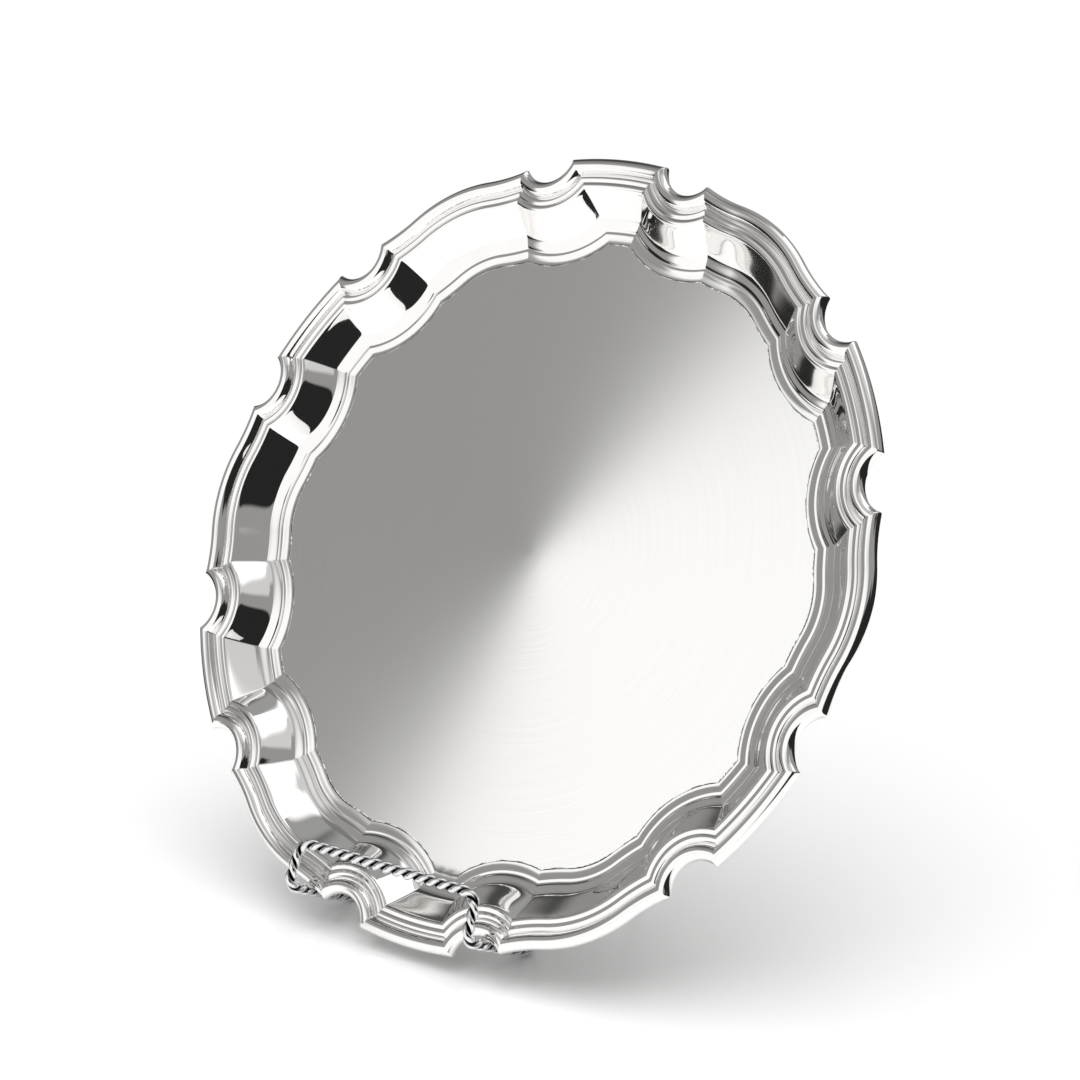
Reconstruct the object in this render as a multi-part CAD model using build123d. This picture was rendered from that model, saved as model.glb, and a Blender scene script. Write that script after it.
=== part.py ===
from build123d import *
import os
from math import sin, cos, radians, degrees, sqrt, atan2, pi, hypot

os.makedirs("parts", exist_ok=True)

# ---------------------------------------------------------------- dimensions
# All lengths in millimetres, all angles in degrees.
# The plate is described in its own frame: x to the right, y up its slope,
# z out of its face. The row frame has +Z up and the plate facing -Y.
LEAN = 27.0            # plate and front frame lean back from the vertical

# outline of the plate: six short tabs, twelve concave notches, six long
# double-curved sections, the same every 60 degrees
TAB_R = 153.0          # arc of the tabs about the plate's centre
NOTCH_ANG = 12.30      # direction of a notch centre from its tab's middle
NOTCH_DIST = 156.25    # distance of a notch centre from the plate's centre
NOTCH_R = 11.3         # radius of a notch at the outer edge
BULGE_Y = 91.1         # centre of a long section's convex middle
BULGE_R = 62.0         # radius of that middle
BULGE_HALF = 17.36     # half of its arc
FLARE_R = 75.0         # radius of the concave ends beside it

# profile: inset from the outer edge, height from the widest line
WALL_TOP = 12.5        # inset where the ledge turns down into the wall
WELL_INSET = 28.6      # inset of the well's edge
SHEET = 1.2            # pressed sheet
DISH_PROFILE = [(28.6, -12.5), (25.6, -11.8), (21.5, -10.3), (12.5, 0.0), (6.0, 0.0),
                (6.0, -1.2), (12.0, -1.2), (20.8, -11.3), (25.3, -13.0), (28.4, -13.7)]
BORDER_PROFILE = [(6.0, 0.0), (5.2, 1.6), (4.2, 2.7), (3.0, 3.1), (1.5, 2.6), (0.4, 1.4),
                  (0.0, 0.0), (0.4, -1.6), (1.4, -3.4), (2.5, -4.5), (3.9, -4.5),
                  (3.9, -1.2), (6.0, -1.2)]

# easel: twisted wire, two strands, given by its outer diameter
WIRE = 4.5
X_LEFT, X_RIGHT = -52.3, 33.7      # the two side wires
X_MID = (X_LEFT + X_RIGHT) / 2
BAR_Y, BAR_Z = -126.8, 11.2        # guard bar in front of the plate
RUN_Y = -143.9                     # wires that carry the rim
BACK_Z = -17.2                     # plane of the uprights behind the plate
FOOT_Y, FOOT_Z = -141.934, -34.0    # front foot bend
TOP_Y = 12.0                       # tops of the uprights
ROD_Z = -18.4                      # hinge rod, just behind the uprights' plane
BRACE_Y = -96.0                    # lower cross brace
ROD_R = 1.6                        # hinge rod
RUN_FIT = 0.05                     # running clearance of the eye on the rod
EYE_R, EYE_LEN = 3.6, 7.0
COLLAR_R, COLLAR_LEN = 3.2, 3.0
BACK_FOOT_Y = 112.0                # back foot behind the plate's centre
TIP_R = 3.2

# ---------------------------------------------------------------- frame
CL, SL = cos(radians(LEAN)), sin(radians(LEAN))


def raw(x, y, z):
    """plate coordinates to row directions, before the lift to the floor"""
    return (x, y * SL - z * CL, y * CL + z * SL)


# lowest point of the front foot bend, found on the bend's own arc below


def side_points(x):
    return [(x, BAR_Y, BAR_Z), (x, RUN_Y, BAR_Z), (x, RUN_Y, -14.0),
            (x, FOOT_Y, FOOT_Z), (x, -118.0, BACK_Z), (x, TOP_Y, BACK_Z)]


def fillet_low(pts, radii):
    """lowest row height of a filleted polyline, by sampling its corner arcs"""
    low = min(raw(*pts[0])[2], raw(*pts[-1])[2])
    for i in range(1, len(pts) - 1):
        a, b, c = (Vector(*raw(*p)) for p in (pts[i - 1], pts[i], pts[i + 1]))
        u, v = (a - b).normalized(), (c - b).normalized()
        half = radians(u.get_angle(v)) / 2
        bis = (u + v).normalized()
        centre = b + bis * (radii[i - 1] / sin(half))
        low = min(low, centre.Z - radii[i - 1] if bis.Z > 0 else min(centre.Z, b.Z))
    return low


SIDE_RADII = [5.0, 7.0, 5.0, 30.0]      # hook bottom, run, foot, back bend
H = WIRE / 2 - fillet_low(side_points(0), SIDE_RADII)   # plate centre above the floor


def P(x, y, z):
    a = raw(x, y, z)
    return Vector(a[0], a[1], a[2] + H)


# ---------------------------------------------------------------- outline
def turn(p, ang):
    """turn a point clockwise about the plate's centre"""
    a = radians(ang)
    return (p[0] * cos(a) + p[1] * sin(a), -p[0] * sin(a) + p[1] * cos(a))


def circles(c1, r1, c2, r2):
    dx, dy = c2[0] - c1[0], c2[1] - c1[1]
    d = hypot(dx, dy)
    a = (r1 * r1 - r2 * r2 + d * d) / (2 * d)
    h = sqrt(max(r1 * r1 - a * a, 0.0))
    px, py = c1[0] + a * dx / d, c1[1] + a * dy / d
    return (px - h * dy / d, py + h * dx / d), (px + h * dy / d, py - h * dx / d)


NOTCH_C = (NOTCH_DIST * sin(radians(NOTCH_ANG)), NOTCH_DIST * cos(radians(NOTCH_ANG)))
FLARE_C = (sin(radians(BULGE_HALF)) * (BULGE_R + FLARE_R),
           BULGE_Y + cos(radians(BULGE_HALF)) * (BULGE_R + FLARE_R))


def insets(d):
    """the wall runs in a little less at the tabs and notches than at the long sections"""
    t = max(0.0, (d - WALL_TOP) / (WELL_INSET - WALL_TOP))
    return d - 1.0 * t, d - 1.25 * t, d


def ring(d, z):
    """the outline at inset d and height z, as 36 arcs"""
    dt, dn, do = insets(d)
    rt, rn = TAB_R - dt, NOTCH_R + dn
    a = min(circles((0, 0), rt, NOTCH_C, rn), key=lambda p: abs(p[0]))
    fc = turn((-FLARE_C[0], FLARE_C[1]), 30)
    guess = (42.5 - 0.28 * do, 145.2 - 0.97 * do)
    b = min(circles(fc, FLARE_R + do, NOTCH_C, rn), key=lambda p: hypot(p[0] - guess[0], p[1] - guess[1]))
    e = turn((-(BULGE_R - do) * sin(radians(BULGE_HALF)), BULGE_Y + (BULGE_R - do) * cos(radians(BULGE_HALF))), 30)
    mid = turn((0, BULGE_Y + BULGE_R - do), 30)

    def on(c, r, p, q):
        mx, my = (p[0] + q[0]) / 2 - c[0], (p[1] + q[1]) / 2 - c[1]
        m = hypot(mx, my)
        return (c[0] + r * mx / m, c[1] + r * my / m)

    def flip(p):                       # mirror in the long section's middle line
        s, c = sin(radians(60)), cos(radians(60))
        return (-p[0] * c + p[1] * s, p[0] * s + p[1] * c)

    nm, fm = on(NOTCH_C, rn, a, b), on(fc, FLARE_R + do, b, e)
    sector = [((-a[0], a[1]), (0, rt), a), (a, nm, b), (b, fm, e), (e, mid, flip(e)),
              (flip(e), flip(fm), flip(b)), (flip(b), flip(nm), flip(a))]
    edges = []
    for k in range(6):
        for arc in sector:
            q = [turn(p, 60 * k) for p in arc]
            edges.append(ThreePointArc(*[P(p[0], p[1], z) for p in q]))
    return edges


def skinned(profile, closed):
    """solid whose skin is ruled between the outline at each profile point"""
    rings = [ring(d, z) for d, z in profile]
    pairs = list(zip(rings, rings[1:])) + ([(rings[-1], rings[0])] if closed else [])
    faces = []
    for r1, r2 in pairs:
        for e1, e2 in zip(r1, r2):
            faces.append(Face.make_surface_from_curves(e1, e2))
    if not closed:
        for r in (rings[0], rings[-1]):
            faces.append(Face(Wire(r)))
    solid = Solid(Shell(faces))
    if solid.volume < 0:
        solid = -solid
    return solid


made = {}


def write(shape, name):
    made[name] = shape


dish = skinned(DISH_PROFILE, False)
border = skinned(BORDER_PROFILE, True)
print("dish", dish.is_valid, dish.volume, "border", border.is_valid, border.volume)
write(dish, "dish")
write(border, "border_moulding")


# ---------------------------------------------------------------- easel wires
def tube(points, radii, r):
    path = FilletPolyline(*points, radius=radii) if radii else Polyline(*points)
    start = path.position_at(0)
    section = Plane(origin=start, z_dir=path.tangent_at(0)) * Circle(r)
    return sweep(section, path=path)


def rod(p, q, r):
    d = q - p
    return Solid.make_cylinder(r, d.length, Plane(origin=p, z_dir=d))


W = WIRE / 2
CORNER = 6.0           # bend between the guard bar and each hook
for name, x, s in (("left_hook_leg", X_LEFT, 1), ("right_hook_leg", X_RIGHT, -1)):
    pts = [P(x + s * (CORNER + 2.0), BAR_Y, BAR_Z)] + [P(*p) for p in side_points(x)]
    leg = tube(pts, [CORNER] + SIDE_RADII, W)
    print(name, leg.is_valid, leg.volume, pi * W * W * FilletPolyline(*pts, radius=[CORNER] + SIDE_RADII).length)
    write(leg, name)

bar = rod(P(X_LEFT + CORNER + 2.0, BAR_Y, BAR_Z), P(X_RIGHT - CORNER - 2.0, BAR_Y, BAR_Z), W)
write(bar, "front_guard_bar")

brace = rod(P(X_LEFT + W, BRACE_Y, BACK_Z), P(X_RIGHT - W, BRACE_Y, BACK_Z), W)
write(brace, "lower_cross_brace")

# hinge rod between two end eyes that close the tops of the uprights
TOP = P(X_MID, TOP_Y, BACK_Z)
for name, x in (("left_top_eye", X_LEFT), ("right_top_eye", X_RIGHT)):
    c = P(x, TOP_Y + 4.0, ROD_Z)
    eye = Solid.make_cylinder(4.0, WIRE, Plane(origin=c - Vector(W, 0, 0), z_dir=(1, 0, 0)))
    bore = Solid.make_cylinder(ROD_R, WIRE, Plane(origin=c - Vector(W, 0, 0), z_dir=(1, 0, 0)))
    # the upright's end is let into the eye
    up = rod(P(x, TOP_Y - 3.0, BACK_Z), P(x, TOP_Y, BACK_Z), W)
    write((eye - bore) - up, name)
ROD_C = P(0, TOP_Y + 4.0, ROD_Z)
hinge_rod = rod(Vector(X_LEFT - W - 1.2, ROD_C.Y, ROD_C.Z), Vector(X_RIGHT + W + 1.2, ROD_C.Y, ROD_C.Z), ROD_R)
write(hinge_rod, "hinge_rod")

# the back leg's eye turns on the rod between two brazed collars
HC = Vector(X_MID, ROD_C.Y, ROD_C.Z)
XD = Vector(1, 0, 0)


def sleeve(x0, x1, r_out, r_in):
    o = Vector(x0, HC.Y, HC.Z)
    pl = Plane(origin=o, z_dir=(1, 0, 0))
    return Solid.make_cylinder(r_out, x1 - x0, pl) - Solid.make_cylinder(r_in, x1 - x0, pl)


write(sleeve(X_MID - EYE_LEN / 2 - 0.3 - COLLAR_LEN, X_MID - EYE_LEN / 2 - 0.3, COLLAR_R, ROD_R), "left_rod_collar")
write(sleeve(X_MID + EYE_LEN / 2 + 0.3, X_MID + EYE_LEN / 2 + 0.3 + COLLAR_LEN, COLLAR_R, ROD_R), "right_rod_collar")
eye = sleeve(X_MID - EYE_LEN / 2, X_MID + EYE_LEN / 2, EYE_R, ROD_R + RUN_FIT)

FOOT = Vector(X_MID, BACK_FOOT_Y, TIP_R)
down = (FOOT - HC).normalized()
leg_start = HC + down * (EYE_R - 0.8)
leg_end = FOOT - down * 2.0
back_leg = rod(leg_start, leg_end, W)
eye_solid = Solid.make_cylinder(EYE_R, EYE_LEN, Plane(origin=Vector(X_MID - EYE_LEN / 2, HC.Y, HC.Z), z_dir=(1, 0, 0)))
back_leg = back_leg - eye_solid
tip = Solid.make_sphere(TIP_R, Plane(origin=FOOT)) - rod(leg_start, leg_end, W)
write(back_leg, "back_leg")
write(eye, "back_leg_eye")
write(tip, "back_leg_tip")

# stop loop: a small bent wire brazed to both collars, its bridge lies over the leg
STOP_WIRE = 1.1
up = Vector(0, down.Z, -down.Y)
if up.Z < 0:
    up = up * -1
reach, over = 9.0, W + STOP_WIRE + 0.15
xa, xb = X_MID - EYE_LEN / 2 - 0.3 - COLLAR_LEN / 2, X_MID + EYE_LEN / 2 + 0.3 + COLLAR_LEN / 2


def sp(x, a, b):
    return Vector(x, HC.Y, HC.Z) + down * a + up * b


stop_pts = [sp(xa, COLLAR_R - 0.6, 1.2), sp(xa, reach, over), sp(xb, reach, over), sp(xb, COLLAR_R - 0.6, 1.2)]
stop = tube(stop_pts, [2.0, 2.0], STOP_WIRE)
for c in (Solid.make_cylinder(COLLAR_R, COLLAR_LEN, Plane(origin=Vector(xa - COLLAR_LEN / 2, HC.Y, HC.Z), z_dir=(1, 0, 0))),
          Solid.make_cylinder(COLLAR_R, COLLAR_LEN, Plane(origin=Vector(xb - COLLAR_LEN / 2, HC.Y, HC.Z), z_dir=(1, 0, 0)))):
    stop = stop - c
write(stop, "opening_stop")

# ---------------------------------------------------------------- write
# the origin is the middle of the whole object's footprint, on the floor
boxes = [s.bounding_box() for s in made.values()]
DY = -(min(b.min.Y for b in boxes) + max(b.max.Y for b in boxes)) / 2
for name, shape in made.items():
    shape = Pos(0, DY, 0) * shape
    shape.label = name
    export_step(shape, f"parts/{name}.step")

print("shift", DY, "plate centre", (0, DY, H), "hinge", HC + Vector(0, DY, 0), "foot", FOOT + Vector(0, DY, 0), "leg dir", down)
print("low", min(b.min.Z for b in boxes), "x", min(b.min.X for b in boxes), max(b.max.X for b in boxes))
w = P(0, 0, -12.5) + Vector(0, DY, 0)
print("well centre", w, "fold angle", degrees(radians(down.get_angle(P(0, -10, 0) - P(0, 0, 0)))))
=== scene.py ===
import bpy
import math
from math import sin, cos, radians, sqrt, pi
import numpy as np
from mathutils import Vector, Matrix


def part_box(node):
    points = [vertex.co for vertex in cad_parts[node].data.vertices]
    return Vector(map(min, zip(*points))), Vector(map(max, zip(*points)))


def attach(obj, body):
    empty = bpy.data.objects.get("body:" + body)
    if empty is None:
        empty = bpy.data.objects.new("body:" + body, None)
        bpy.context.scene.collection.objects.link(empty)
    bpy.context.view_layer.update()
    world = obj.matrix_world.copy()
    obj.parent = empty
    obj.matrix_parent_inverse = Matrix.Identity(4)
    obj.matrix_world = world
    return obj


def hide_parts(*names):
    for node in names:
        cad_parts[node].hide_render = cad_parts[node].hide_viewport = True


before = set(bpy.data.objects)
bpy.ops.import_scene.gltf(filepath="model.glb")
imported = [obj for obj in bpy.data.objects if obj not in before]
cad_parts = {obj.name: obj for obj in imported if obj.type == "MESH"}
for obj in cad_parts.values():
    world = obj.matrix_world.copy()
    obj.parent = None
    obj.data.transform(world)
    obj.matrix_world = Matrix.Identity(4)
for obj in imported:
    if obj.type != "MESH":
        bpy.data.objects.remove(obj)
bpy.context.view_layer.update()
scene = bpy.context.scene
scene.view_settings.view_transform = "Standard"

# ------------------------------------------------------------------ the plate's own frame
# plate coordinates in mm: x right, y up its slope, z out of its face
LEAN = radians(27.0)
SL, CL = sin(LEAN), cos(LEAN)
blo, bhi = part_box("border_moulding")
# the border's lowest and highest points fix where the plate's centre is
TAB_R, SKIRT_IN, SKIRT_Z = 153.0, 2.5, -4.5
CENTRE = Vector((0.0, -0.01968324, 0.14137072))
PLATE = Matrix(((1, 0, 0, CENTRE.x), (0, SL, -CL, CENTRE.y), (0, CL, SL, CENTRE.z), (0, 0, 0, 1)))


def row(p):
    """plate mm to row metres"""
    p = np.asarray(p, float) / 1000.0
    return np.stack([p[..., 0] + CENTRE.x, p[..., 1] * SL - p[..., 2] * CL + CENTRE.y,
                     p[..., 1] * CL + p[..., 2] * SL + CENTRE.z], -1)


# ------------------------------------------------------------------ the outline
NOTCH_ANG, NOTCH_DIST, NOTCH_R = 12.30, 156.25, 11.3
BULGE_Y, BULGE_R, BULGE_HALF, FLARE_R = 91.1, 62.0, 17.36, 75.0
WALL_TOP, WELL_INSET = 12.5, 28.6
NC = np.array([NOTCH_DIST * sin(radians(NOTCH_ANG)), NOTCH_DIST * cos(radians(NOTCH_ANG))])
FCL = np.array([-sin(radians(BULGE_HALF)) * (BULGE_R + FLARE_R), BULGE_Y + cos(radians(BULGE_HALF)) * (BULGE_R + FLARE_R)])


def turn(p, ang):
    a = radians(ang)
    p = np.asarray(p, float)
    return np.stack([p[..., 0] * cos(a) + p[..., 1] * sin(a), -p[..., 0] * sin(a) + p[..., 1] * cos(a)], -1)


def circles(c1, r1, c2, r2):
    c1, c2 = np.asarray(c1, float), np.asarray(c2, float)
    d = np.linalg.norm(c2 - c1)
    e = (c2 - c1) / d
    a = (r1 * r1 - r2 * r2 + d * d) / (2 * d)
    h = sqrt(max(r1 * r1 - a * a, 0))
    n = np.array([-e[1], e[0]])
    return c1 + a * e + h * n, c1 + a * e - h * n


def arc(c, r, p, q, n):
    a0 = math.atan2(p[1] - c[1], p[0] - c[0])
    a1 = math.atan2(q[1] - c[1], q[0] - c[0])
    da = (a1 - a0 + pi) % (2 * pi) - pi
    t = a0 + da * np.linspace(0, 1, n)
    return np.stack([c[0] + r * np.cos(t), c[1] + r * np.sin(t)], -1)


def trim(pts, c0, c1):
    s = np.r_[0, np.cumsum(np.linalg.norm(np.diff(pts, axis=0), axis=1))]
    t = np.linspace(c0, s[-1] - c1, len(pts))
    return np.stack([np.interp(t, s, pts[:, 0]), np.interp(t, s, pts[:, 1])], -1)


def bez(a, b, c, n):
    t = np.linspace(0, 1, n + 2)[1:-1, None]
    return (1 - t) ** 2 * a + 2 * t * (1 - t) * b + t * t * c


def outline(d, cr=0.45, nt=26, nn=26, nf=12, nb=36, nc=4):
    """the scalloped outline at inset d, always with the same number of points, its corners just broken"""
    t = min(max(0.0, (d - WALL_TOP) / (WELL_INSET - WALL_TOP)), 1.3)
    dt, dn, do = d - 1.0 * t, d - 1.25 * t, d
    rt, rn = TAB_R - dt, NOTCH_R + dn
    a = min(circles((0, 0), rt, NC, rn), key=lambda p: abs(p[0]))
    fc = turn(FCL, 30)
    g = np.array([42.5 - 0.28 * do, 145.2 - 0.97 * do])
    b = min(circles(fc, FLARE_R + do, NC, rn), key=lambda p: np.hypot(*(p - g)))
    H = radians(BULGE_HALF)
    R = BULGE_R - do
    e = turn((-R * sin(H), BULGE_Y + R * cos(H)), 30)
    s60, c60 = sin(radians(60)), cos(radians(60))

    def flip(p):
        return np.stack([-p[..., 0] * c60 + p[..., 1] * s60, p[..., 0] * s60 + p[..., 1] * c60], -1)

    bc = turn((0, BULGE_Y), 30)
    am = np.array([-a[0], a[1]])
    tab = trim(arc((0, 0), rt, am, a, nt), cr, cr)
    no = trim(arc(NC, rn, a, b, nn), cr, cr)
    fl = trim(arc(fc, FLARE_R + do, b, e, nf), cr, 0)
    bu = arc(bc, R, e, flip(e), nb)[1:-1]
    fl2, no2 = flip(fl)[::-1], flip(no)[::-1]
    sec = [tab, bez(tab[-1], a, no[0], nc), no, bez(no[-1], b, fl[0], nc), fl, bu, fl2,
           bez(fl2[-1], flip(b), no2[0], nc), no2]
    nxt = turn(tab, 60)[0]
    sec.append(bez(no2[-1], flip(a), nxt, nc))
    sec = np.concatenate(sec)
    return np.concatenate([turn(sec, 60 * k) for k in range(6)])


def spline(P, n=6):
    """uniform cubic B-spline along a control polygon, from end to end"""
    P = np.asarray(P, float)
    P = np.vstack([2 * P[0] - P[1], P, 2 * P[-1] - P[-2]])
    out = []
    for i in range(len(P) - 3):
        for t in np.linspace(0, 1, n, endpoint=False):
            B = np.array([(1 - t) ** 3, 3 * t ** 3 - 6 * t ** 2 + 4, -3 * t ** 3 + 3 * t ** 2 + 3 * t + 1, t ** 3]) / 6
            out.append(B @ P[i:i + 4])
    out.append((P[-3] * 4 + P[-2] + P[-4]) / 6)
    return np.array(out)


# ------------------------------------------------------------------ profiles, (inset, height) in mm
BEAD = [(3.03 - 2.95 * cos(radians(f)), 2.95 * sin(radians(f))) for f in range(-8, 160, 12)]
SKIRT = [(2.75, -4.5), (2.6, -4.5), (2.4, -4.4), (1.9, -3.85), (1.3, -3.05), (0.65, -2.0), (0.25, -1.1)]
GROOVE = [(6.05, 0.55), (6.25, 0.1), (6.4, -0.08), (6.5, -0.1)]
BORDER_TOP = spline(SKIRT + BEAD + GROOVE, 4)
BORDER_UNDER = spline([(6.5, -1.15), (5.6, -1.15), (4.6, -0.9), (3.9, -1.3), (3.7, -2.4), (3.65, -3.6), (3.5, -4.3), (3.3, -4.5), (3.1, -4.5)], 4)
LEDGE = [(6.5, -0.1), (6.7, 0.0), (7.1, 0.35), (7.7, 0.62), (8.4, 0.6), (9.0, 0.38), (9.4, 0.17), (9.7, 0.16),
         (10.1, 0.36), (10.8, 0.52), (11.5, 0.34), (12.0, -0.1), (12.5, -0.75), (13.2, -1.55)]
WALL = [(14.5, -2.98), (16.5, -5.1), (18.5, -7.2), (20.2, -8.95), (21.2, -9.85), (22.0, -10.35), (23.0, -10.68), (24.3, -11.02),
        (24.9, -11.3), (25.3, -11.62), (25.7, -11.84), (26.1, -11.88), (26.6, -11.8), (27.3, -11.82), (28.0, -12.02), (28.7, -12.28),
        (29.3, -12.43), (29.8, -12.49), (30.2, -12.5), (30.6, -12.5), (30.9, -12.5)]
DISH_TOP = spline(LEDGE + WALL, 4)
DISH_UNDER = spline([(30.0, -13.7), (28.5, -13.68), (26.2, -13.28), (24.0, -12.6), (22.3, -12.0), (21.0, -11.45), (19.5, -10.2), (17.0, -7.55),
                     (14.0, -4.45), (12.6, -2.9), (12.0, -2.05), (11.2, -1.5), (10.0, -1.25), (8.0, -1.15), (6.5, -1.15)], 4)


def mesh_object(name, verts, faces, mats, face_mat=None, matrix=None, smooth=True):
    me = bpy.data.meshes.new(name)
    me.from_pydata([tuple(v) for v in verts], [], [tuple(f) for f in faces])
    for m in mats:
        me.materials.append(m)
    me.polygons.foreach_set("use_smooth", [smooth] * len(me.polygons))
    if face_mat is not None:
        me.polygons.foreach_set("material_index", list(face_mat))
    me.validate()
    me.update()
    ob = bpy.data.objects.new(name, me)
    if matrix is not None:
        ob.matrix_world = matrix
    scene.collection.objects.link(ob)
    return ob


def grid_faces(rows, cols, closed_rows=False):
    i = np.arange(rows if closed_rows else rows - 1)
    j = np.arange(cols)
    I, J = np.meshgrid(i, j, indexing="ij")
    I2, J2 = (I + 1) % rows, (J + 1) % cols
    return np.stack([I * cols + J, I * cols + J2, I2 * cols + J2, I2 * cols + J], -1).reshape(-1, 4)


# ------------------------------------------------------------------ node helpers
class Nodes:
    def __init__(self, tree):
        self.t = tree

    def new(self, kind, **kw):
        n = self.t.nodes.new(kind)
        for k, v in kw.items():
            setattr(n, k, v)
        return n

    def link(self, a, b):
        self.t.links.new(a, b)

    def val(self, sock, v):
        if isinstance(v, bpy.types.NodeSocket):
            self.link(v, sock)
        else:
            sock.default_value = v

    def math(self, op, a, b=None, c=None, clamp=False):
        n = self.new("ShaderNodeMath", operation=op, use_clamp=clamp)
        self.val(n.inputs[0], a)
        if b is not None:
            self.val(n.inputs[1], b)
        if c is not None:
            self.val(n.inputs[2], c)
        return n.outputs[0]

    def ramp(self, x, lo, hi, a=0.0, b=1.0, smooth=True):
        n = self.new("ShaderNodeMapRange", interpolation_type="SMOOTHSTEP" if smooth else "LINEAR", clamp=True)
        self.val(n.inputs["Value"], x)
        self.val(n.inputs["From Min"], lo)
        self.val(n.inputs["From Max"], hi)
        self.val(n.inputs["To Min"], a)
        self.val(n.inputs["To Max"], b)
        return n.outputs[0]

    def mix(self, f, a, b):
        n = self.new("ShaderNodeMix", data_type="RGBA", blend_type="MIX")
        self.val(n.inputs[0], f)
        self.val(n.inputs[6], a)
        self.val(n.inputs[7], b)
        return n.outputs[2]


def g(v, warm=0.0):
    return (v * (1 + warm), v, v * (1 - warm * 1.5), 1)


def material(name):
    m = bpy.data.materials.new(name)
    m.use_nodes = True
    m.node_tree.nodes.clear()
    N = Nodes(m.node_tree)
    out = N.new("ShaderNodeOutputMaterial")
    b = N.new("ShaderNodeBsdfPrincipled")
    N.link(b.outputs["BSDF"], out.inputs["Surface"])
    b.inputs["Metallic"].default_value = 1.0
    return m, N, b


SILVER = (0.93, 0.92, 0.905, 1)


def polished(name, rough=0.035, wave=0.10):
    """polished silver-coloured plate: faint polishing haze, tiny ripples in the pressed metal, fine hairlines"""
    m, N, b = material(name)
    tc = N.new("ShaderNodeTexCoord")
    n1 = N.new("ShaderNodeTexNoise")
    n1.inputs["Scale"].default_value = 26.0
    n1.inputs["Detail"].default_value = 3.0
    N.link(tc.outputs["Object"], n1.inputs["Vector"])
    r = N.ramp(n1.outputs["Fac"], 0.35, 0.75, rough, rough + 0.035)
    N.link(r, b.inputs["Roughness"])
    n3 = N.new("ShaderNodeTexNoise")
    n3.inputs["Scale"].default_value = 60.0
    n3.inputs["Detail"].default_value = 2.0
    N.link(tc.outputs["Object"], n3.inputs["Vector"])
    col = N.mix(N.ramp(n3.outputs["Fac"], 0.3, 0.8), SILVER, (0.90, 0.888, 0.868, 1))
    N.link(col, b.inputs["Base Color"])
    n2 = N.new("ShaderNodeTexNoise")
    n2.inputs["Scale"].default_value = 70.0
    n2.inputs["Detail"].default_value = 1.0
    N.link(tc.outputs["Object"], n2.inputs["Vector"])
    bp = N.new("ShaderNodeBump")
    bp.inputs["Strength"].default_value = wave
    bp.inputs["Distance"].default_value = 0.0004
    N.link(n2.outputs["Fac"], bp.inputs["Height"])
    N.link(bp.outputs["Normal"], b.inputs["Normal"])
    return m


def satin_well(name):
    """spun satin finish: very fine rings about the plate's centre that stretch reflections outwards"""
    m, N, b = material(name)
    tc = N.new("ShaderNodeTexCoord")
    sep = N.new("ShaderNodeSeparateXYZ")
    N.link(tc.outputs["Object"], sep.inputs[0])
    r2 = N.math("SQRT", N.math("ADD", N.math("MULTIPLY", sep.outputs[0], sep.outputs[0]),
                               N.math("MULTIPLY", sep.outputs[1], sep.outputs[1])))
    comb = N.new("ShaderNodeCombineXYZ")
    N.link(N.math("MULTIPLY", r2, 2600.0), comb.inputs[0])
    ang = N.math("ARCTAN2", sep.outputs[1], sep.outputs[0])
    N.link(N.math("MULTIPLY", ang, 1.2), comb.inputs[1])
    rings = N.new("ShaderNodeTexNoise")
    rings.inputs["Scale"].default_value = 1.0
    rings.inputs["Detail"].default_value = 3.0
    N.link(comb.outputs[0], rings.inputs["Vector"])
    cloud = N.new("ShaderNodeTexNoise")
    cloud.inputs["Scale"].default_value = 14.0
    cloud.inputs["Detail"].default_value = 4.0
    N.link(tc.outputs["Object"], cloud.inputs["Vector"])
    rough = N.math("ADD", N.ramp(cloud.outputs["Fac"], 0.3, 0.8, 0.125, 0.14),
                   N.math("MULTIPLY", rings.outputs["Fac"], 0.02))
    N.link(rough, b.inputs["Roughness"])
    col = N.mix(N.ramp(rings.outputs["Fac"], 0.2, 0.85), (0.93, 0.922, 0.905, 1), (0.90, 0.892, 0.872, 1))
    N.link(col, b.inputs["Base Color"])
    b.inputs["Anisotropic"].default_value = 0.4
    tan = N.new("ShaderNodeTangent", direction_type="RADIAL", axis="Z")
    N.link(tan.outputs[0], b.inputs["Tangent"])
    # the spinning grooves all lean outwards a little
    lean = N.new("ShaderNodeBump")
    lean.inputs["Strength"].default_value = 1.0
    lean.inputs["Distance"].default_value = 1.0
    soft = N.math("SQRT", N.math("ADD", N.math("MULTIPLY", r2, r2), 0.00015))
    N.link(N.math("MULTIPLY", soft, -math.tan(radians(3.0))), lean.inputs["Height"])
    bp = N.new("ShaderNodeBump")
    bp.inputs["Strength"].default_value = 0.05
    bp.inputs["Distance"].default_value = 0.0001
    N.link(rings.outputs["Fac"], bp.inputs["Height"])
    N.link(lean.outputs["Normal"], bp.inputs["Normal"])
    N.link(bp.outputs["Normal"], b.inputs["Normal"])
    return m


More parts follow.
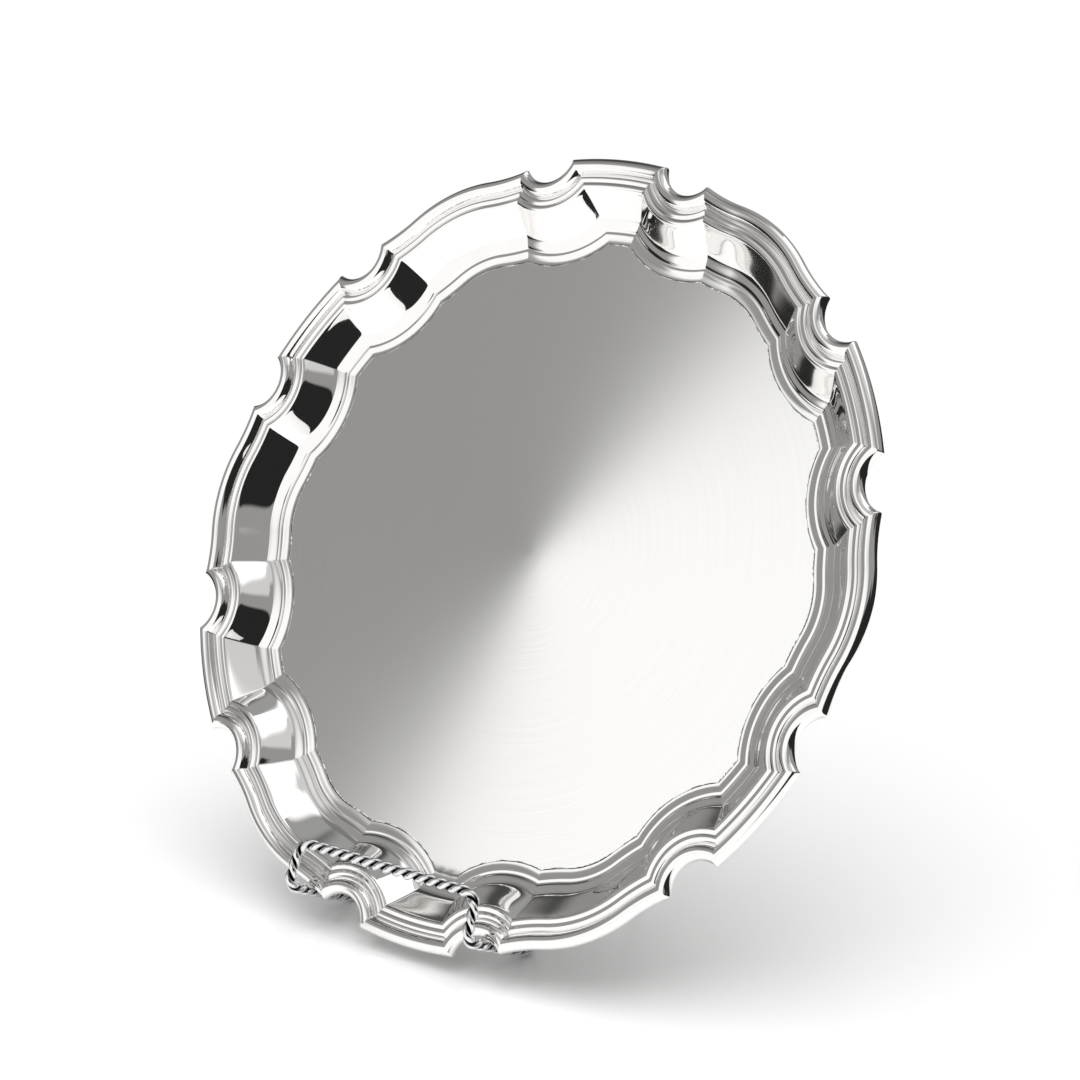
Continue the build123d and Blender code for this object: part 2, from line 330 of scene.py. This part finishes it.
def wire_chrome(name):
    """bright plated wire: small drawn-wire streaks, and painted shade in the twist: the base colour goes near black
    where the strands face each other
    """
    m, N, b = material(name)
    tc = N.new("ShaderNodeTexCoord")
    n1 = N.new("ShaderNodeTexNoise")
    n1.inputs["Scale"].default_value = 420.0
    n1.inputs["Detail"].default_value = 3.0
    N.link(tc.outputs["Object"], n1.inputs["Vector"])
    N.link(N.ramp(n1.outputs["Fac"], 0.3, 0.8, 0.05, 0.12), b.inputs["Roughness"])
    n2 = N.new("ShaderNodeTexNoise")
    n2.inputs["Scale"].default_value = 900.0
    N.link(tc.outputs["Object"], n2.inputs["Vector"])
    # painted shade: where the strands face each other in the twist the base colour is mixed to near black
    at = N.new("ShaderNodeAttribute", attribute_type="GEOMETRY", attribute_name="painted_twist_shade")
    clean = N.mix(N.ramp(n2.outputs["Fac"], 0.35, 0.75), (0.86, 0.86, 0.86, 1), (0.72, 0.72, 0.725, 1))
    N.link(N.mix(N.ramp(at.outputs["Fac"], 0.26, 0.62), clean, (0.03, 0.03, 0.032, 1)), b.inputs["Base Color"])
    bp = N.new("ShaderNodeBump")
    bp.inputs["Strength"].default_value = 0.12
    bp.inputs["Distance"].default_value = 0.0001
    N.link(n1.outputs["Fac"], bp.inputs["Height"])
    N.link(bp.outputs["Normal"], b.inputs["Normal"])
    return m


MAT_BORDER = polished("border_polish", 0.04, 0.06)
MAT_WALL = polished("wall_polish", 0.02, 0.10)
MAT_UNDER = polished("underside_polish", 0.12, 0.25)
MAT_WELL = satin_well("well_satin")
MAT_WIRE = wire_chrome("wire_plating")

# ------------------------------------------------------------------ border and dish
NCOL = len(outline(3.0))


def rings_of(profile):
    return np.concatenate([np.column_stack([outline(d), np.full(NCOL, z)]) for d, z in profile])


def build_border():
    prof = np.concatenate([BORDER_TOP, BORDER_UNDER])
    v = row(rings_of(prof))
    f = grid_faces(len(prof), NCOL, closed_rows=True)
    return mesh_object("plate_border", v, f, [MAT_BORDER])


def disc_rows(d0, z, n):
    """rings from the scalloped outline at inset d0 in to the centre, turning into circles"""
    base = outline(d0)
    rr = np.hypot(base[:, 0], base[:, 1])
    th = np.arctan2(base[:, 0], base[:, 1])
    rows = []
    for t in [0.004, 0.012, 0.03] + [k / n for k in range(1, n)]:
        w = min(1.0, t * 4)
        r = (1 - t) * (rr * (1 - w) + rr.mean() * w)
        rows.append(np.column_stack([r * np.sin(th), r * np.cos(th), np.full(NCOL, z)]))
    return rows


def build_dish():
    well = disc_rows(30.9, -12.5, 14)
    under = disc_rows(30.0, -13.7, 8)
    top = rings_of(DISH_TOP)
    bot = rings_of(DISH_UNDER)
    # order: centre of well outwards, over the wall to the ledge, then back underneath
    tops = np.split(top, len(DISH_TOP))
    bots = np.split(bot, len(DISH_UNDER))
    seq = well[::-1] + tops[::-1] + bots[::-1] + under
    verts = np.concatenate(seq)
    nr = len(seq)
    f = [tuple(q) for q in grid_faces(nr, NCOL)]
    c0 = len(verts)
    verts = np.vstack([verts, [[0, 0, -12.5], [0, 0, -13.7]]])
    f += [(c0, (j + 1) % NCOL, j) for j in range(NCOL)]
    last = (nr - 1) * NCOL
    f += [(c0 + 1, last + j, last + (j + 1) % NCOL) for j in range(NCOL)]
    # the satin well, the polished wall and ledge, the plain underside
    nwell, ntop = len(well), len(tops)
    mats = []
    edge_row = nwell + int(np.argmin(np.abs(DISH_TOP[::-1][:, 0] - 28.4)))
    for q in f[:(nr - 1) * NCOL]:
        r = min(q) // NCOL if max(q) - min(q) < 2 * NCOL else 0
        mats.append(0 if r < edge_row else (1 if r < nwell + ntop - 1 else 2))
    mats += [0] * NCOL + [2] * NCOL
    return mesh_object("plate_dish", verts / 1000.0, f, [MAT_WELL, MAT_WALL, MAT_UNDER], mats, matrix=PLATE)


def fix_normals(ob):
    """turn the shell's faces outwards"""
    import bmesh
    bm = bmesh.new()
    bm.from_mesh(ob.data)
    bmesh.ops.recalc_face_normals(bm, faces=bm.faces)
    bm.to_mesh(ob.data)
    bm.free()


border = build_border()
dish = build_dish()
for o in (border, dish):
    fix_normals(o)
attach(border, "plate")
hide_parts("border_moulding")
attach(dish, "plate")
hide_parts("dish")

# ------------------------------------------------------------------ twisted wire
WIRE = 4.5
X_LEFT, X_RIGHT = -52.3, 33.7
X_MID = (X_LEFT + X_RIGHT) / 2
BAR_Y, BAR_Z, RUN_Y, BACK_Z = -126.8, 11.2, -143.9, -17.2
FOOT_Y, FOOT_Z, TOP_Y, BRACE_Y = -141.934, -34.0, 12.0, -96.0
CORNER = 6.0
SIDE_RADII = [5.0, 7.0, 5.0, 30.0]
PITCH = 10.4


def side_points(x):
    return [(x, BAR_Y, BAR_Z), (x, RUN_Y, BAR_Z), (x, RUN_Y, -14.0), (x, FOOT_Y, FOOT_Z), (x, -118.0, BACK_Z), (x, TOP_Y, BACK_Z)]


def bent(points, radii, step=0.4):
    """a wire's centre line: straight runs joined by tangent arcs, sampled evenly"""
    P = [np.asarray(p, float) for p in points]
    out = [P[0]]
    for i in range(1, len(P) - 1):
        a, b, c = P[i - 1], P[i], P[i + 1]
        u, v = (a - b) / np.linalg.norm(a - b), (c - b) / np.linalg.norm(c - b)
        half = math.acos(np.clip(u @ v, -1, 1)) / 2
        r = radii[i - 1]
        tl = r / math.tan(half)
        s, e = b + u * tl, b + v * tl
        bis = (u + v) / np.linalg.norm(u + v)
        cen = b + bis * r / sin(half)
        n = 14
        for k in range(n + 1):
            t = k / n
            d0, d1 = s - cen, e - cen
            ang = math.acos(np.clip(d0 @ d1 / (r * r), -1, 1))
            w = (sin((1 - t) * ang) * d0 + sin(t * ang) * d1) / sin(ang)
            out.append(cen + w)
    out.append(P[-1])
    out = np.array(out)
    s = np.r_[0, np.cumsum(np.linalg.norm(np.diff(out, axis=0), axis=1))]
    n = int(s[-1] / step)
    t = np.linspace(0, s[-1], n + 1)
    return np.stack([np.interp(t, s, out[:, k]) for k in range(3)], -1), t


def twisted(name, points, radii, pitch=PITCH, strand=1.16, phase=0.0, hand=-1, seg=16):
    """two strands wound round each other along a bent centre line"""
    c, s = bent(points, radii)
    T = np.gradient(c, axis=0)
    T /= np.linalg.norm(T, axis=1, keepdims=True)
    up = np.array([0.0, 0.0, 1.0]) if abs(T[0][2]) < 0.9 else np.array([1.0, 0, 0])
    Nn = [np.cross(np.cross(T[0], up), T[0])]
    Nn[0] /= np.linalg.norm(Nn[0])
    for k in range(1, len(c)):
        v = Nn[-1] - (Nn[-1] @ T[k]) * T[k]
        Nn.append(v / np.linalg.norm(v))
    Nn = np.array(Nn)
    B = np.cross(T, Nn)
    hr = WIRE / 2 - strand
    verts, faces = [], []
    for k in range(2):
        th = hand * 2 * pi * s / pitch + phase + pi * k
        h = c + hr * (np.cos(th)[:, None] * Nn + np.sin(th)[:, None] * B)
        TT = np.gradient(h, axis=0)
        TT /= np.linalg.norm(TT, axis=1, keepdims=True)
        O = h - c
        O /= np.linalg.norm(O, axis=1, keepdims=True)
        O = O - (O * TT).sum(1, keepdims=True) * TT
        O /= np.linalg.norm(O, axis=1, keepdims=True)
        Q = np.cross(TT, O)
        a = np.linspace(0, 2 * pi, seg, endpoint=False)
        ringv = h[:, None, :] + strand * (np.cos(a)[None, :, None] * O[:, None, :] + np.sin(a)[None, :, None] * Q[:, None, :])
        base = sum(len(v) for v in verts)
        verts.append(ringv.reshape(-1, 3))
        n = len(h)
        faces += [tuple(q) for q in grid_faces(n, seg) + base]
        for end, off in ((0, base), (1, base + (n - 1) * seg)):
            ids = list(range(off, off + seg))
            faces.append(tuple(ids if end else ids[::-1]))
    v = np.concatenate(verts)
    ob = mesh_object(name, row(v), faces, [MAT_WIRE])
    # 0 on a strand's outer side, 1 where it faces the other strand; the wire material paints shade into the base
    # colour by this
    a = np.linspace(0, 2 * pi, seg, endpoint=False)
    at = ob.data.attributes.new("painted_twist_shade", "FLOAT", "POINT")
    at.data.foreach_set("value", np.tile((1 - np.cos(a)) / 2, 2 * len(c)))
    fix_normals(ob)
    return ob


left = side_points(X_LEFT)
right = side_points(X_RIGHT)
front_pts = left[::-1] + right
front_rad = SIDE_RADII[::-1] + [CORNER, CORNER] + SIDE_RADII
front = twisted("easel_front_wire", front_pts, front_rad)
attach(front, "easel")
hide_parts("front_guard_bar", "left_hook_leg", "right_hook_leg")

brace = twisted("easel_cross_brace", [(X_LEFT + 1.6, BRACE_Y, BACK_Z), (-5, BRACE_Y, BACK_Z), (X_RIGHT - 1.6, BRACE_Y, BACK_Z)][::2], [])
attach(brace, "easel")
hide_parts("lower_cross_brace")

# back leg, in plate coordinates worked back from its two ends in the row frame
bl_lo, bl_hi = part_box("back_leg")
HINGE = np.array([-9.3, 3.97513, 147.273])
FOOT = np.array([-9.3, 92.3168, 3.2])
dirn = (FOOT - HINGE) / np.linalg.norm(FOOT - HINGE)


def unrow(p):
    q = np.asarray(p, float) - np.array(CENTRE) * 1000.0
    return np.array([q[0], q[1] * SL + q[2] * CL, -q[1] * CL + q[2] * SL])


leg = twisted("easel_back_leg", [unrow(HINGE + dirn * 3.3), unrow(FOOT - dirn * 1.6)], [], phase=0.8)
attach(leg, "back_leg")
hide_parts("back_leg")

MAT_HARD = wire_chrome("hinge_plating")
for n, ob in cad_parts.items():
    if not ob.hide_render:
        ob.data.materials.clear()
        ob.data.materials.append(MAT_HARD)
        for p in ob.data.polygons:
            p.use_smooth = True

# ------------------------------------------------------------------ floor
R_FLOOR = 0.5
nseg = 96


def floor_mesh():
    v, f = [(0, 0, 0)], []
    radii = [0.1, 0.25, 0.4, R_FLOOR]
    for r in radii:
        for k in range(nseg):
            a = 2 * pi * k / nseg
            v.append((r * cos(a), r * sin(a), 0))
    for k in range(nseg):
        f.append((0, 1 + k, 1 + (k + 1) % nseg))
    for i in range(len(radii) - 1):
        for k in range(nseg):
            a, b = 1 + i * nseg + k, 1 + i * nseg + (k + 1) % nseg
            f.append((a, a + nseg, b + nseg, b))
    return v, f


m, N, b = material("floor_white")
b.inputs["Metallic"].default_value = 0.0
b.inputs["Specular IOR Level"].default_value = 0.35
tc = N.new("ShaderNodeTexCoord")
fn = N.new("ShaderNodeTexNoise")
fn.inputs["Scale"].default_value = 40.0
N.link(tc.outputs["Object"], fn.inputs["Vector"])
N.link(N.ramp(fn.outputs["Fac"], 0.3, 0.7, 0.07, 0.11), b.inputs["Roughness"])
b.inputs["Base Color"].default_value = (0.9, 0.9, 0.9, 1)
fv, ff = floor_mesh()
floor = mesh_object("floor", fv, ff, [m])

# ------------------------------------------------------------------ studio: soft light cards and dark flags set by direction
# polished metal shows them; the camera itself sees plain white behind the object
world = bpy.data.worlds.new("studio")
scene.world = world
world.use_nodes = True
world.node_tree.nodes.clear()
N = Nodes(world.node_tree)
tc = N.new("ShaderNodeTexCoord")
sep = N.new("ShaderNodeSeparateXYZ")
N.link(tc.outputs["Generated"], sep.inputs[0])
X, Y, Z = sep.outputs
DEG = 180.0 / pi
az = N.math("MULTIPLY", N.math("ARCTAN2", X, N.math("MULTIPLY", Y, -1.0)), DEG)     # 0 towards -Y, positive towards +X
el = N.math("MULTIPLY", N.math("ARCSINE", Z), DEG)


def zone(a0, a1, e0, e1, soft_a=2.0, soft_e=2.0, slant=0.0):
    """1 inside az a0..a1 and el e0..e1; slant shifts the az limits by that much per degree of el"""
    azz = az if slant == 0 else N.math("SUBTRACT", az, N.math("MULTIPLY", el, slant))
    m1 = N.ramp(azz, a0 - soft_a, a0 + soft_a)
    m2 = N.ramp(azz, a1 - soft_a, a1 + soft_a, 1.0, 0.0)
    m3 = N.ramp(el, e0 - soft_e, e0 + soft_e)
    m4 = N.ramp(el, e1 - soft_e, e1 + soft_e, 1.0, 0.0)
    return N.math("MULTIPLY", N.math("MULTIPLY", m1, m2), N.math("MULTIPLY", m3, m4))


WX, WY, WZ = 0.72629279, -0.68481328, -0.05941008     # towards the large front card
side = N.math("ADD", N.math("ADD", N.math("MULTIPLY", X, WX), N.math("MULTIPLY", Y, WY)), N.math("MULTIPLY", Z, WZ))
side = N.math("MULTIPLY", side, DEG)
sky = N.mix(N.ramp(az, -92, -58), g(0.30), g(0.315, 0.008))
sky = N.mix(zone(-160, -58, 46, 75, 8, 6), sky, g(0.21))
sky = N.mix(zone(-60, 100, 60, 99, 10, 4), sky, g(0.66))
sky = N.mix(zone(66, 90, 44, 64, 3, 3), sky, g(0.66))
lobe = N.math("MULTIPLY", N.math("MULTIPLY", N.ramp(side, -1.6, 4.2), N.ramp(el, 32, 62, 1.0, 0.0)), N.ramp(az, 27, 29, 1.0, 0.0))
sky = N.mix(lobe, sky, g(1.07))
sky = N.mix(zone(-86, -50, -36, 1, 4, 4), sky, g(0.02))
sky = N.mix(zone(-190, -95, -90, 22, 8, 6), sky, g(1.0))
sky = N.mix(zone(86, 190, 54, 99, 5, 5), sky, g(1.25))
sky = N.mix(zone(-190, -118, 45, 80, 4, 5), sky, g(0.34))
sky = N.mix(zone(-138, -92, 26, 60, 6, 5), sky, g(0.06))
sky = N.mix(zone(-200, 200, 79, 99, 4, 3), sky, g(1.15))
sky = N.mix(zone(80, 190, -70, 18, 4, 4), sky, g(0.02))
sky = N.mix(zone(28, 88, -70, 28, 2, 2), sky, g(0.02))
bg = N.new("ShaderNodeBackground")
N.val(bg.inputs["Color"], sky)
bg.inputs["Strength"].default_value = 1.0
plain = N.new("ShaderNodeBackground")
plain.inputs["Color"].default_value = (1, 1, 1, 1)
plain.inputs["Strength"].default_value = 1.02
lp = N.new("ShaderNodeLightPath")
mx = N.new("ShaderNodeMixShader")
N.link(lp.outputs["Is Camera Ray"], mx.inputs[0])
N.link(bg.outputs[0], mx.inputs[1])
N.link(plain.outputs[0], mx.inputs[2])
wo = N.new("ShaderNodeOutputWorld")
N.link(mx.outputs[0], wo.inputs[0])


def area(name, loc, target, size, power, color=(1, 1, 1), glossy=False):
    L = bpy.data.lights.new(name, "AREA")
    L.shape = "RECTANGLE"
    L.size, L.size_y = size
    L.energy = power
    L.color = color
    o = bpy.data.objects.new(name, L)
    o.location = loc
    o.rotation_mode = "QUATERNION"
    o.rotation_quaternion = (Vector(target) - Vector(loc)).to_track_quat("-Z", "Y")
    o.visible_glossy = glossy
    scene.collection.objects.link(o)
    return o


area("overhead_soft", (0.12, -0.12, 1.3), (0.0, 0.0, 0.0), (1.8, 1.8), 22)

# ------------------------------------------------------------------ camera
cam = bpy.data.cameras.new("camera")
co = bpy.data.objects.new("camera", cam)
scene.collection.objects.link(co)
right_v = Vector((0.79055053, 0.61219182, -0.01584383))
down_v = Vector((0.15443009, -0.22432467, -0.96220049))
fwd_v = Vector((-0.59260544, 0.75822135, -0.27188082))
rot = Matrix((right_v, -down_v, -fwd_v)).transposed()
pos = Vector((0.58683231, -0.73579973, 0.26846426)) + CENTRE
co.matrix_world = Matrix.Translation(pos) @ rot.to_4x4()
cam.sensor_width = 36.0
cam.lens = 36.0 * 2623.7 / 1080.0
cam.clip_start, cam.clip_end = 0.01, 50.0
cam.dof.use_dof = False
scene.camera = co
